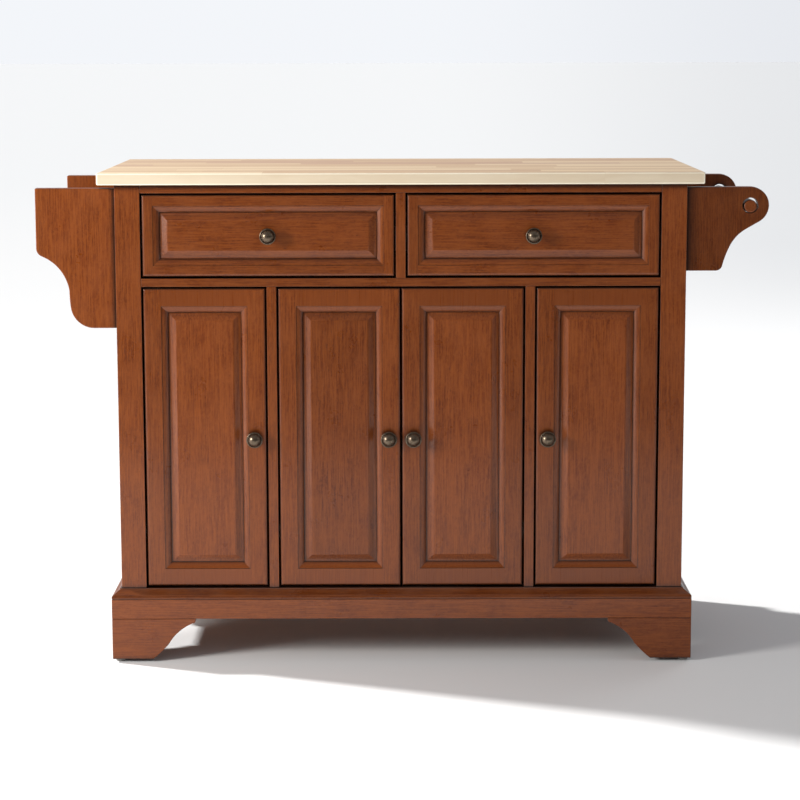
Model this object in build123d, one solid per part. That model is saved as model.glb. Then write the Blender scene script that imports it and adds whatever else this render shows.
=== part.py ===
"""Butcher block table: a kitchen island with a stave top, two drawers, four doors,
a spice rack on the left end and a towel bar on the right end.

Millimetres, +X right, -Y front, +Z up. The origin is on the floor, midway between
the cabinet's ends and midway between its front and back.
"""
from build123d import *
import math
import os

os.makedirs("parts", exist_ok=True)

# Overall
top_length, top_depth, top_thickness = 1102.0, 457.0, 22.0
table_height = 914.0
case_width, case_depth = 1045.0, 405.0

# Levels above the floor
foot_bottom = 6.0
plinth_bottom = 83.0
moulding_bottom = 120.0
opening_bottom = 138.0
mid_rail_bottom, mid_rail_top = 704.0, 719.5
top_rail_bottom = 875.7

# Boards
board = 15.0
face_frame = 19.0
post_width = 46.5
divider_width = 18.0
back_thickness = 5.0
cleat = 18.0
front_ease, top_ease = 5.0, 3.0

# Doors and drawer fronts
front_gap = 2.5
sill_gap = 3.0
door_flat, drawer_flat = 33.0, 20.0
sticking, sticking_quirk, sticking_depth = 12.0, 1.0, 7.0
groove_front, groove_width, groove_depth = 8.0, 6.0, 6.5
panel_play, panel_side_play = 0.1, 0.8
panel_reveal, bevel_width = 1.5, 14.0
bevel_step, field_level = 1.1, 1.5

# Concealed hinges: the pin, the cup in the door, and the arm on the cabinet
pin_from_edge, pin_behind_front = 24.0, 12.0
pin_radius, pin_clearance = 1.5, 0.06
cup_radius, cup_depth, cup_wall, cup_from_edge = 17.4, 12.0, 1.0, 3.0
bore_radius = 17.5
hinge_inset = 95.0
arm_near, arm_far, arm_back, arm_height = 10.2, 11.5, 26.7, 10.0

# Ball-bearing drawer slides
slide_depth, slide_height, slide_length, slide_sheet = 12.7, 45.0, 330.0, 1.2
slide_level = 790.0
slide_front_setback = 2.0

# Drawer boxes
box_level, box_height, box_length, box_wall = 735.0, 110.0, 330.0, 12.0
box_bottom_thickness, box_bottom_raise = 5.0, 10.0

# Knobs
knob_radius, knob_projection = 15.0, 25.0
knob_from_edge, door_knob_level = 21.5, 421.0

# End brackets
bracket_thickness, bracket_recess = 20.0, 10.0
bracket_top = 884.4
rack_reach, rack_drop = 146.0, 257.7
towel_reach, towel_drop = 151.0, 154.0
towel_bar_radius, towel_hole_radius, towel_bar_lift = 12.0, 14.0, 0.3

# Feet
foot_length, foot_board, foot_block = 156.0, 20.0, 30.0
glide_inset, glide_radius, glide_stem = 14.0, 10.0, 3.0

# Worked out from the above
front_y, back_y = -case_depth / 2, case_depth / 2
side_x = case_width / 2
inner_x = side_x - board
opening_x = side_x - post_width
frame_back_y = front_y + face_frame
case_top = table_height - top_thickness
inner_back_y = back_y - back_thickness
plinth_thickness = 17.3
plinth_x, plinth_y = side_x + plinth_thickness, back_y + plinth_thickness
deck_top = mid_rail_top - 0.5
bottom_panel_z = opening_bottom - board
door_height = mid_rail_bottom - opening_bottom - 2 * sill_gap
door_width = (2 * opening_x - 2 * divider_width - 7 * front_gap) / 4
mullion_x = opening_x - door_width - 2 * front_gap - divider_width / 2
drawer_height = top_rail_bottom - mid_rail_top - 2 * sill_gap
drawer_width = opening_x - divider_width / 2 - 2 * front_gap
hinge_levels = [hinge_inset, door_height - hinge_inset]


# ---------------------------------------------------------------- helpers
def block(x, y, z):
    """A box that spans the three (low, high) pairs."""
    size = Box(x[1] - x[0], y[1] - y[0], z[1] - z[0])
    return Pos(sum(x) / 2, sum(y) / 2, sum(z) / 2) * size


def rod(radius, start, end):
    """A round rod between two points."""
    path = Vector(*end) - Vector(*start)
    return extrude(Plane(origin=start, z_dir=path) * Circle(radius), path.length)


def both_ends(shape):
    """The shape and its mirror image on the other end of the cabinet."""
    return [shape, mirror(shape, Plane.YZ)]


def save(node, shapes):
    """Write one node, as a group of the separate solids in its shapes."""
    solids = [solid for shape in shapes for solid in shape.solids()]
    export_step(Compound(children=solids), f"parts/{node}.step")


def wood_screw(length):
    """A countersunk screw along +Z, its head's face at the origin."""
    head, shank, cone = 4.0, 1.9, 2.6
    tip = [(shank, length - 4), (0, length), (0, 0)]
    outline = Polyline((0, 0), (head, 0), (head, 0.5), (shank, cone), *tip)
    return revolve(Plane.XZ * make_face(outline), Axis.Z)


# ---------------------------------------------------------------- raised-panel fronts
def frame_member(length, flat):
    """A stile along +Z: outer edge at x = 0, front face at y = 0, moulded and grooved inner edge."""
    edge = flat + sticking
    groove_back = groove_front + groove_width
    front = Polyline((0, face_frame), (0, 0), (flat, 0), (flat, sticking_quirk))
    moulding = RadiusArc((flat, sticking_quirk), (edge, sticking_depth), 18)
    back = Polyline(
        (edge, sticking_depth), (edge, groove_front), (edge - groove_depth, groove_front),
        (edge - groove_depth, groove_back), (edge, groove_back), (edge, face_frame), (0, face_frame),
    )
    return extrude(make_face(front + moulding + back), length)


def front_frame(width, height, flat):
    """Two stiles and two coped rails of a door or drawer front, its lower left corner at the origin."""
    outline = block((0, width), (0, face_frame), (0, height))
    outline = fillet(outline.faces().sort_by(Axis.Y)[0].edges(), front_ease)
    left = frame_member(height, flat)
    right = Pos(width, 0, 0) * mirror(left, Plane.YZ)
    rail = frame_member(width - 2 * flat, flat)
    bottom = Pos(width - flat, 0, 0) * Rot(0, -90, 0) * rail - left - right
    top = Pos(flat, 0, height) * Rot(0, 90, 0) * rail - left - right
    return [member & outline for member in (left, right, bottom, top)]


def raised_panel(width, height, flat):
    """The panel that floats in a front's grooves: a tongue, a bevel and a raised field."""
    tongue = flat + sticking - groove_depth + panel_side_play
    foot = flat + sticking + panel_reveal
    field = foot + bevel_width
    bevel_foot = groove_front + panel_play
    bevel_top = field_level + bevel_step
    tongue_back = groove_front + groove_width - panel_play

    def rectangle(inset, depth):
        plane = Plane(origin=(width / 2, depth, height / 2), x_dir=(1, 0, 0), z_dir=(0, -1, 0))
        return plane * Rectangle(width - 2 * inset, height - 2 * inset)

    slab = extrude(rectangle(tongue, tongue_back), tongue_back - bevel_foot)
    bevel = loft([rectangle(foot, bevel_foot), rectangle(field, bevel_top)], ruled=True)
    raised = extrude(rectangle(field, bevel_top), bevel_step)
    return slab + bevel + raised


def knob(screw_length):
    """A turned knob whose back stands at the origin, facing -Y, and the screw that holds it."""
    tip, hole = 4.0, 2.0
    dome, dome_half = 13.0, 67.38

    def on_dome(angle):
        turn = math.radians(angle)
        return (dome * math.sin(turn), dome - knob_projection - dome * math.cos(turn))

    face = (
        Polyline((0, -knob_projection), (0, -tip), (hole, -tip), (hole, 0), (8, 0), (8, -1.5), (6.2, -3.0))
        + ThreePointArc((6.2, -3.0), (5.4, -7.5), (8.0, -12.5))
        + ThreePointArc((8.0, -12.5), (12.4, -13.0), (knob_radius - 0.3, -14.2))
        + ThreePointArc((knob_radius - 0.3, -14.2), (knob_radius, -15.2), (knob_radius - 0.8, -16.6))
        + Polyline((knob_radius - 0.8, -16.6), (12.6, -16.2), on_dome(dome_half))
        + ThreePointArc(on_dome(dome_half), on_dome(dome_half / 2), (0, -knob_projection))
    )
    screw = rod(hole, (0, -tip, 0), (0, screw_length, 0))
    screw += rod(4.5, (0, screw_length, 0), (0, screw_length + 2.2, 0))
    return [revolve(make_face(face), Axis.Y), screw]


def hinge_cup():
    """Cup, flange and pin of a hinge, in the door: pin along Z at the origin, door front at -Y."""
    cup_x = cup_from_edge + bore_radius - pin_from_edge
    back = face_frame - pin_behind_front
    floor = back - cup_depth
    shell = rod(cup_radius, (cup_x, floor, 0), (cup_x, back + 1.0, 0))
    flange = rod(cup_radius + 1.0, (cup_x, back, 0), (cup_x, back + 1.0, 0))
    flange += block((cup_x - 6, cup_x + 6), (back, back + 1.0), (-26, 26))
    hollow = rod(cup_radius - cup_wall, (cup_x, floor + cup_wall, 0), (cup_x, back + 1.0, 0))
    pin_half = cup_radius - cup_wall - 0.2
    pin = rod(pin_radius, (0, 0, -pin_half), (0, 0, pin_half))
    body = shell + flange - hollow
    for z in (-22, 22):
        body -= rod(1.8, (cup_x, back, z), (cup_x, back + 1.0, z))
    return body + pin


def hinge_arm():
    """The fixed half: an eye on the pin, an arm out of the cup and a plate on the cabinet wall."""
    wall = -pin_from_edge - front_gap
    half = arm_height / 2
    plate_sheet, plate_length, plate_half = 2.0, 36.0, 16.0
    eye = rod(3.2, (0, 0, -half), (0, 0, half))
    link = block((0, arm_far), (-1.0, 1.0), (-half, half))
    riser = block((arm_near, arm_far), (-1.0, arm_back + 2.0), (-half, half))
    cross = block((wall + plate_sheet, arm_far), (arm_back, arm_back + 2.0), (-half, half))
    tail = block((wall + plate_sheet, wall + 5.0), (arm_back, arm_back + plate_length), (-half, half))
    arm = eye + link + riser + cross + tail
    arm -= rod(pin_radius + pin_clearance, (0, 0, -half), (0, 0, half))
    plate_y = (arm_back + 2.0, arm_back + plate_length)
    plate = block((wall, wall + plate_sheet), plate_y, (-plate_half, plate_half))
    return [arm, plate]


# ---------------------------------------------------------------- top and case
screw_reach = 31.0
top_screw_places = [(x, (inner_back_y + inner_back_y - cleat) / 2) for x in (-400, -150, 150, 400)]
top_screw_places += [(x, y) for x in (-inner_x + cleat / 2, inner_x - cleat / 2) for y in (-120, 60)]
top_screws = [Pos(x, y, case_top - cleat) * wood_screw(screw_reach) for x, y in top_screw_places]

bracket_screws = []
for side, levels in ((-1, (850.0, 670.0)), (1, (850.0, 745.0))):
    for z in levels:
        for y in (-178.0, back_y - bracket_recess - bracket_thickness / 2):
            bracket_screws.append(Pos(side * inner_x, y, z) * Rot(0, side * 90, 0) * wood_screw(40.0))
save("wood_screws", top_screws + bracket_screws)

top = block((-top_length / 2, top_length / 2), (-top_depth / 2, top_depth / 2), (case_top, table_height))
top = fillet(top.edges().filter_by(Axis.Z), 4.0)
top = fillet(top.faces().sort_by(Axis.Z)[-1].edges(), top_ease)
save("butcher_block_top", [top - top_screws])

# Shelf pins stand in the first of three holes up each line
shelf_level, shelf_pin_pitch, shelf_pin_radius = 410.0, 32.0, 2.5
shelf_pin_ys = (-120.0, 150.0)
mullion_near, mullion_far = mullion_x - divider_width / 2, mullion_x + divider_width / 2
bays = [(-inner_x, -mullion_far), (-mullion_near, mullion_near), (mullion_far, inner_x)]
pin_holes, shelf_pins = [], []
for low, high in bays:
    for wall, inward in ((low, 1), (high, -1)):
        for y in shelf_pin_ys:
            for step in range(-1, 2):
                z = shelf_level - shelf_pin_radius + step * shelf_pin_pitch
                pin_holes.append(rod(shelf_pin_radius, (wall, y, z), (wall - inward * 8, y, z)))
            z = shelf_level - shelf_pin_radius
            shelf_pins.append(rod(shelf_pin_radius, (wall - inward * 8, y, z), (wall + inward * 9, y, z)))
save("shelf_pins", shelf_pins)

side_panel = block((-side_x, -inner_x), (frame_back_y, back_y), (plinth_bottom, case_top))
save("side_panels", [panel - pin_holes - bracket_screws for panel in both_ends(side_panel)])

save("back_panel", [block((-inner_x, inner_x), (inner_back_y, back_y), (plinth_bottom, case_top))])

post = block((-side_x, -opening_x), (front_y, frame_back_y), (plinth_bottom, case_top))
save("face_posts", both_ends(post))


def face_rail(low, high):
    return block((-opening_x, opening_x), (front_y, frame_back_y), (low, high))


save("face_rails", [face_rail(plinth_bottom, opening_bottom), face_rail(mid_rail_bottom, mid_rail_top),
                    face_rail(top_rail_bottom, case_top)])

half = divider_width / 2
mullion_z = (opening_bottom, mid_rail_bottom)
mullion = block((-mullion_x - half, -mullion_x + half), (front_y, frame_back_y), mullion_z)
drawer_divider = block((-half, half), (front_y, frame_back_y), (mid_rail_top, top_rail_bottom))
save("face_dividers", both_ends(mullion) + [drawer_divider])

inside_y = (frame_back_y, inner_back_y)
save("bottom_panel", [block((-inner_x, inner_x), inside_y, (bottom_panel_z, opening_bottom))])
save("drawer_deck", [block((-inner_x, inner_x), inside_y, (mid_rail_bottom, deck_top))])
save("drawer_partition", [block((-half, half), inside_y, (deck_top, case_top))])

partition = block((-mullion_x - half, -mullion_x + half), inside_y, (opening_bottom, mid_rail_bottom))
save("door_partitions", [panel - pin_holes for panel in both_ends(partition)])

shelf_y = (-150, inner_back_y - 1)
shelf_z = (shelf_level, shelf_level + board)
shelves = [block((low + 1, high - 1), shelf_y, shelf_z) for low, high in bays]
save("adjustable_shelves", shelves)

cleat_z = (case_top - cleat, case_top)
back_cleat = block((-inner_x, -half), (inner_back_y - cleat, inner_back_y), cleat_z)
side_cleat = block((-inner_x, -inner_x + cleat), (frame_back_y, inner_back_y - cleat), cleat_z)
save("top_cleats", [strip - top_screws for strip in both_ends(back_cleat) + both_ends(side_cleat)])

# Packers bring the walls behind the posts flush with the openings
spacer_half = 25.0
spacer_z = (slide_level - spacer_half, slide_level + spacer_half)
slide_spacer = block((-inner_x, -opening_x), (frame_back_y, 150), spacer_z)
save("slide_spacers", both_ends(slide_spacer))

door_bottom = opening_bottom + sill_gap
packer_half, packer_depth = 40.0, 60.0
packers = [block((-inner_x, -opening_x), (frame_back_y, frame_back_y + packer_depth),
                 (door_bottom + z - packer_half, door_bottom + z + packer_half)) for z in hinge_levels]
save("hinge_packers", [shape for packer in packers for shape in both_ends(packer)])


# ---------------------------------------------------------------- plinth, moulding and feet
def mitred_ring(profile, reach_x, reach_y):
    """Four mitred bars round the case: the profile is drawn (outwards, up) from the case's face."""
    bars = []
    for reach, across, turn in ((reach_x, reach_y, 0), (reach_y, reach_x, 90)):
        bar = extrude(Plane(origin=(reach, 0, 0), x_dir=(0, -1, 0), z_dir=(-1, 0, 0)) * profile, 2 * reach)
        bar = Pos(0, -across + plinth_thickness, 0) * bar
        inner = reach - plinth_thickness
        ends = Polyline((-reach, -across), (reach, -across), (inner, -across + plinth_thickness),
                        (-inner, -across + plinth_thickness), (-reach, -across))
        bar = bar & extrude(make_face(ends), table_height)
        bars += [Rot(0, 0, turn) * bar, Rot(0, 0, turn + 180) * bar]
    return bars


plinth_profile = make_face(Polyline(
    (0, plinth_bottom), (plinth_thickness, plinth_bottom), (plinth_thickness, moulding_bottom),
    (0, moulding_bottom), (0, plinth_bottom)))
save("plinth_rails", mitred_ring(plinth_profile, plinth_x, plinth_y))

lip, nose_in, nose_up = 3.5, 5.0, 9.0
lip_end = (plinth_thickness, moulding_bottom + lip)
nose_end = (plinth_thickness - nose_in, moulding_bottom + nose_up)
moulding_line = (
    Polyline((0, opening_bottom), (0, moulding_bottom), (plinth_thickness, moulding_bottom), lip_end)
    + RadiusArc(lip_end, nose_end, 7)
    + Line(nose_end, (3.0, opening_bottom - 1.5))
    + Polyline((3.0, opening_bottom - 1.5), (3.0, opening_bottom), (0, opening_bottom))
)
save("base_moulding", mitred_ring(make_face(moulding_line), plinth_x, plinth_y))


def bracket_foot():
    """A foot in its own corner frame: outer corner at the origin, boards along +X and +Y."""
    height = plinth_bottom - foot_bottom
    ogee = (
        Polyline((0, 0), (76, 0))
        + ThreePointArc((76, 0), (92, 14.5), (105, 28.5))
        + ThreePointArc((105, 28.5), (123, 51), (150, 68))
        + ThreePointArc((150, 68), (155.2, 71.5), (foot_length, height))
        + Polyline((foot_length, height), (0, height), (0, 0))
    )
    plane = Plane(origin=(0, 0, foot_bottom), x_dir=(1, 0, 0), z_dir=(0, -1, 0))
    front = extrude(plane * make_face(ogee), -foot_board)
    waste = Polyline((0, 0), (foot_board, foot_board), (0, foot_board), (0, 0))
    front -= extrude(make_face(waste), table_height)
    side = mirror(front, Plane(origin=(0, 0, 0), z_dir=(1, -1, 0)))
    stem_foot = (glide_inset, glide_inset, foot_bottom)
    stem = rod(glide_stem, stem_foot, (glide_inset, glide_inset, foot_bottom + 20))
    inside = (foot_board, foot_board + foot_block)
    glue_block = block(inside, inside, (foot_bottom + 20, plinth_bottom))
    upper = [(glide_radius - 1, foot_bottom), (0, foot_bottom), (0, 0)]
    disc = Polyline((0, 0), (glide_radius - 2, 0), (glide_radius, 2), *upper)
    glide = Pos(glide_inset, glide_inset, 0) * revolve(Plane.XZ * make_face(disc), Axis.Z) + stem
    return [front - stem, side - stem, glue_block], glide


foot_solids, glide = bracket_foot()
corner = Pos(-plinth_x, -plinth_y, 0)
left_foot = [corner * solid for solid in foot_solids]
front_feet = [shape for solid in left_foot for shape in both_ends(solid)]
save("feet_front", front_feet)
save("feet_back", [mirror(shape, Plane.XZ) for shape in front_feet])
front_glides = both_ends(corner * glide)
save("foot_glides", front_glides + [mirror(shape, Plane.XZ) for shape in front_glides])

# ---------------------------------------------------------------- spice rack on the left end
bracket_faces = [(front_y + bracket_recess), (back_y - bracket_recess - bracket_thickness)]


def end_brackets(outline, side):
    """The front and rear bracket of one end, from an outline drawn (outwards, down) from its top corner."""
    brackets = []
    for y in bracket_faces:
        plane = Plane(origin=(side * side_x, y, bracket_top), x_dir=(side, 0, 0), z_dir=(0, -side, 0))
        brackets.append(extrude(plane * mirror(outline, Plane.XZ), -side * bracket_thickness))
    return brackets


rack_outline = make_face(
    Polyline((0, 0), (rack_reach, 0), (rack_reach, 111))
    + ThreePointArc((rack_reach, 111), (143.5, 119), (136, 125))
    + ThreePointArc((136, 125), (101, 153), (87, 188))
    + ThreePointArc((87, 188), (86.6, 202), (85, 219))
    + ThreePointArc((85, 219), (70.5, 247), (43, rack_drop))
    + Polyline((43, rack_drop), (0, rack_drop), (0, 0))
)
rack_brackets = end_brackets(rack_outline, -1)
save("rack_brackets", [plate - bracket_screws for plate in rack_brackets])

rack_y = (bracket_faces[0] + bracket_thickness, bracket_faces[1])
rack_board, guard_height = 12.0, 32.0
upper_shelf, lower_shelf = (bracket_top - 108, 134.0), (bracket_top - 244, 62.0)
shelves, guards = [], []
for level, reach in (upper_shelf, lower_shelf):
    shelves.append(block((-side_x - reach, -side_x), rack_y, (level, level + rack_board)))
    guard_z = (level, level + rack_board + guard_height)
    guards.append(block((-side_x - reach - rack_board, -side_x - reach), rack_y, guard_z))
save("rack_shelves", shelves)
save("rack_guards", guards)

# ---------------------------------------------------------------- towel bar on the right end
hole_u, hole_v, end_radius = 117.0, 34.0, 34.0
towel_outline = make_face(
    Polyline((0, 0), (hole_u, 0))
    + ThreePointArc((hole_u, 0), (towel_reach, hole_v), (134, 63.4))
    + Line((134, 63.4), (112, 76.1))
    + ThreePointArc((112, 76.1), (91.3, 92.5), (79, 112))
    + ThreePointArc((79, 112), (72.8, 127), (68, 142))
    + ThreePointArc((68, 142), (64, 150.5), (56, towel_drop))
    + Polyline((56, towel_drop), (0, towel_drop), (0, 0))
)
hole_x, hole_z = side_x + hole_u, bracket_top - hole_v
bar_z = hole_z - (towel_hole_radius - towel_bar_radius - towel_bar_lift)
bar_end = bracket_faces[1] + bracket_thickness + 1.0
towel_hole = rod(towel_hole_radius, (hole_x, front_y, hole_z), (hole_x, back_y, hole_z))
save("towel_brackets", [plate - towel_hole - bracket_screws for plate in end_brackets(towel_outline, 1)])
bar = rod(towel_bar_radius, (hole_x, -bar_end, bar_z), (hole_x, bar_end, bar_z))
save("towel_bar", [fillet(bar.edges().filter_by(GeomType.CIRCLE), 3.0)])


# ---------------------------------------------------------------- drawers
def slide_members(wall_x, inward):
    """Cabinet, middle and drawer member of one slide on a wall, with the ball cages on the middle one."""
    y = (frame_back_y + slide_front_setback, frame_back_y + slide_front_setback + slide_length)

    def channel(web, reach, height):
        near, far = sorted((web, web + math.copysign(slide_sheet, reach - web)))
        low, high = sorted((web, reach))
        half = height / 2
        shape = block((near, far), y, (-half, half))
        for z in ((-half, -half + slide_sheet), (half - slide_sheet, half)):
            shape += block((low, high), y, z)
        return shape

    def cage(low, high):
        return [block((5.0, 9.0), (y[0] + 10, y[1] - 60), span) for span in ((low, high), (-high, -low))]

    outer = channel(0, 10.0, slide_height)
    middle = channel(3.5, 10.5, 38.4)
    inner = channel(slide_depth, 7.0, 30.0)
    cages = cage(19.5, 21.0) + cage(15.3, 17.7)

    def place(shape):
        shape = shape if inward > 0 else mirror(shape, Plane.YZ)
        return Pos(wall_x, 0, slide_level) * shape

    return place(outer), [place(shape) for shape in [middle] + cages], place(inner)


drawer_bottom = mid_rail_top + sill_gap
cabinet_members = []
for name, low in (("left", -opening_x + front_gap), ("right", divider_width / 2 + front_gap)):
    high = low + drawer_width
    walls = (low - front_gap, high + front_gap)
    centre = (low + high) / 2
    place = Pos(low, front_y, drawer_bottom)
    knob_z = drawer_bottom + drawer_height / 2
    box_x = (walls[0] + slide_depth + 0.3, walls[1] - slide_depth - 0.3)
    box_y = (frame_back_y, frame_back_y + box_length)
    box_z = (box_level, box_level + box_height)
    knob_body, knob_screw = [Pos(centre, front_y, knob_z) * shape for shape in knob(face_frame + box_wall)]
    save(f"drawer_{name}_knob", [knob_body, knob_screw])
    members = front_frame(drawer_width, drawer_height, drawer_flat)
    save(f"drawer_{name}_front_frame", [place * member for member in members])
    panel = raised_panel(drawer_width, drawer_height, drawer_flat)
    save(f"drawer_{name}_front_panel", [place * panel - knob_screw])

    near_side = block((box_x[0], box_x[0] + box_wall), box_y, box_z)
    far_side = block((box_x[1] - box_wall, box_x[1]), box_y, box_z)
    sides = [near_side, far_side]
    across = (box_x[0] + box_wall, box_x[1] - box_wall)
    near_end = block(across, (box_y[0], box_y[0] + box_wall), box_z)
    far_end = block(across, (box_y[1] - box_wall, box_y[1]), box_z)
    ends = [near_end, far_end]
    tuck = box_wall / 2
    bottom_z = (box_level + box_bottom_raise, box_level + box_bottom_raise + box_bottom_thickness)
    bottom = block((across[0] - tuck, across[1] + tuck), (box_y[0] + tuck, box_y[1] - tuck), bottom_z)
    save(f"drawer_{name}_box", [side - bottom - knob_screw for side in sides + ends])
    save(f"drawer_{name}_bottom", [bottom])

    middles, inners = [], []
    for wall, inward in ((walls[0], 1), (walls[1], -1)):
        outer, middle, inner = slide_members(wall, inward)
        cabinet_members.append(outer)
        middles += middle
        inners.append(inner)
    save(f"drawer_{name}_slide_members", inners)
    save(f"runner_{name}", middles)
save("slide_cabinet_members", cabinet_members)

# ---------------------------------------------------------------- doors
bay_left = -opening_x + front_gap
centre_left = -mullion_x + half + front_gap
doors = [("left", bay_left, 1), ("centre_left", centre_left, 1),
         ("centre_right", front_gap / 2, -1), ("right", mullion_x + half + front_gap, -1)]
arms = []
for name, low, swing in doors:
    high = low + door_width
    hinge_x = low + pin_from_edge if swing > 0 else high - pin_from_edge
    knob_x = high - knob_from_edge if swing > 0 else low + knob_from_edge
    pin_y = front_y + pin_behind_front
    place = Pos(low, front_y, door_bottom)
    cup_x = hinge_x + swing * (cup_from_edge + bore_radius - pin_from_edge)
    bores, cups = [], []
    for level in hinge_levels:
        z = door_bottom + level
        bores.append(rod(bore_radius, (cup_x, frame_back_y - cup_depth, z), (cup_x, frame_back_y, z)))
        shapes = [hinge_cup()] + hinge_arm()
        if swing < 0:
            shapes = [mirror(shape, Plane.YZ) for shape in shapes]
        cup, arm, plate = [Pos(hinge_x, pin_y, z) * shape for shape in shapes]
        cups.append(cup)
        arms += [arm, plate]
    door_knob = [Pos(knob_x, front_y, door_knob_level) * shape for shape in knob(face_frame)]
    frame = [place * member for member in front_frame(door_width, door_height, door_flat)]
    save(f"door_{name}_frame", [member - bores - door_knob[1] for member in frame])
    save(f"door_{name}_panel", [place * raised_panel(door_width, door_height, door_flat)])
    save(f"door_{name}_knob", door_knob)
    save(f"door_{name}_hinge_cups", cups)
save("hinge_arms", arms)
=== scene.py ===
import math
import random

import bmesh
import bpy
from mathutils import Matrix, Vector


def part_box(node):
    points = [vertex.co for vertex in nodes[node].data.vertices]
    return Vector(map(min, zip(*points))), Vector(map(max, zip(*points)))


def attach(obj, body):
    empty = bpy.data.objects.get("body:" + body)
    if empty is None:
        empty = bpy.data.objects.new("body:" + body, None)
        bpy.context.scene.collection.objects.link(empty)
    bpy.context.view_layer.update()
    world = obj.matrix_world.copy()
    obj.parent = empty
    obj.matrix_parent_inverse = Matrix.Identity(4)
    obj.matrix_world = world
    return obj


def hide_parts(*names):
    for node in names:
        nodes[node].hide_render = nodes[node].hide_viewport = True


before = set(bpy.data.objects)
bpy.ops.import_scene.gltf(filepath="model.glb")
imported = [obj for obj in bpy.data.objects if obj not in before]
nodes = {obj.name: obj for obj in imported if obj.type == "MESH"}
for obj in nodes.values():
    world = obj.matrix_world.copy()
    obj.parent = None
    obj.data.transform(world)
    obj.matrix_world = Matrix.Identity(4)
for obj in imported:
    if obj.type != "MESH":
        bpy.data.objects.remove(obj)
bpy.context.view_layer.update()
scene = bpy.context.scene
dice = random.Random(4107)    # every random draw comes from here
mm = 0.001
print("frame loaded:", len(nodes), "nodes")


# shader helpers: each one adds a node to the tree and gives back its output

def feed(tree, socket, value):
    if hasattr(value, "is_linked"):
        tree.links.new(value, socket)
    else:
        socket.default_value = value


def doMath(tree, operation, first, second=0.0, third=0.0, clamp=False):
    node = tree.nodes.new("ShaderNodeMath")
    node.operation = operation
    node.use_clamp = clamp
    for socket, value in zip(node.inputs, (first, second, third)):
        feed(tree, socket, value)
    return node.outputs[0]


def doVector(tree, operation, first, second):
    node = tree.nodes.new("ShaderNodeVectorMath")
    node.operation = operation
    feed(tree, node.inputs[0], first)
    feed(tree, node.inputs[1], second)
    return node.outputs["Value"] if operation == "DOT_PRODUCT" else node.outputs[0]


def spread(tree, value, low, high):
    # nought below low, one above high, smooth between
    node = tree.nodes.new("ShaderNodeMapRange")
    node.interpolation_type = "SMOOTHSTEP"
    for socket, setting in zip(node.inputs, (value, low, high)):
        feed(tree, socket, setting)
    return node.outputs[0]


def cloud(tree, vector, scale, detail=3.0, roughness=0.55):
    node = tree.nodes.new("ShaderNodeTexNoise")
    feed(tree, node.inputs["Vector"], vector)
    feed(tree, node.inputs["Scale"], scale)
    node.inputs["Detail"].default_value = detail
    node.inputs["Roughness"].default_value = roughness
    return node.outputs["Fac"]


def mixColour(tree, amount, first, second):
    node = tree.nodes.new("ShaderNodeMix")
    node.data_type = "RGBA"
    feed(tree, node.inputs[0], amount)
    feed(tree, node.inputs[6], first)
    feed(tree, node.inputs[7], second)
    return node.outputs[2]


def rgb(red, green, blue):
    return (red, green, blue, 1.0)


floatKind, vectorKind = "NodeSocketFloat", "NodeSocketVector"


def startGroup(name, takes, gives):
    group = bpy.data.node_groups.new(name, "ShaderNodeTree")
    for label, kind, value in takes:
        socket = group.interface.new_socket(name=label, in_out="INPUT", socket_type=kind)
        if value is not None:
            socket.default_value = value
    for label in gives:
        group.interface.new_socket(name=label, in_out="OUTPUT", socket_type=floatKind)
    inside = group.nodes.new("NodeGroupInput").outputs
    return group, inside, group.nodes.new("NodeGroupOutput").inputs


figureLook = {      # stretches are the scale along the board, with 1 across it
    "streakStretch": 0.07, "streakRange": (0.28, 0.72), "swayScale": 7.0, "sway": (0.0, 0.035, 0.03),
    "fibreStretch": 0.035, "poreStretch": 0.16, "poreScale": 950.0,
    "poreThreshold": (-0.16, 0.72), "poreEdge": 0.07, "cloudScale": 16.0, "cloudRange": (0.3, 0.7),
    "curlStretch": 0.45, "curlScale": 260.0, "curlRange": (0.4, 0.66),
    "wanderScale": 60.0, "wander": (0.02, 0.012, 0.012),
}


def makeWoodFigure(look):
    # the coordinates run along, across and through the board
    group, takes, gives = startGroup(
        "woodFigure",
        [("Coordinates", vectorKind, None), ("Streak Scale", floatKind, 55.0),
         ("Fibre Scale", floatKind, 520.0), ("Pore Amount", floatKind, 0.5)],
        ["Streaks", "Fibres", "Pores", "Clouds", "Curl"])
    spot = takes["Coordinates"]

    def stretched(share):
        return doVector(group, "MULTIPLY", spot, (share, 1, 1))

    sway = doVector(group, "MULTIPLY", cloud(group, spot, look["swayScale"], 2.0), look["sway"])
    swayed = doVector(group, "ADD", stretched(look["streakStretch"]), sway)
    streaks = cloud(group, swayed, takes["Streak Scale"], 4.0)
    feed(group, gives["Streaks"], spread(group, streaks, *look["streakRange"]))
    fibres = cloud(group, stretched(look["fibreStretch"]), takes["Fibre Scale"], 3.0, 0.65)
    feed(group, gives["Fibres"], fibres)
    pores = cloud(group, stretched(look["poreStretch"]), look["poreScale"], 2.0, 0.5)
    threshold = doMath(group, "MULTIPLY_ADD", takes["Pore Amount"], *look["poreThreshold"])
    edge = doMath(group, "ADD", threshold, look["poreEdge"])
    feed(group, gives["Pores"], spread(group, pores, threshold, edge))
    clouds = cloud(group, spot, look["cloudScale"], 4.0, 0.6)
    feed(group, gives["Clouds"], spread(group, clouds, *look["cloudRange"]))
    drift = cloud(group, spot, look["wanderScale"], 2.0)
    wander = doVector(group, "MULTIPLY", drift, look["wander"])
    rippled = doVector(group, "ADD", stretched(look["curlStretch"]), wander)
    curl = cloud(group, rippled, look["curlScale"], 3.0, 0.6)
    feed(group, gives["Curl"], spread(group, curl, *look["curlRange"]))
    return group


recessLook = {"samples": 10, "range": (0.04, 0.34)}


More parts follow.
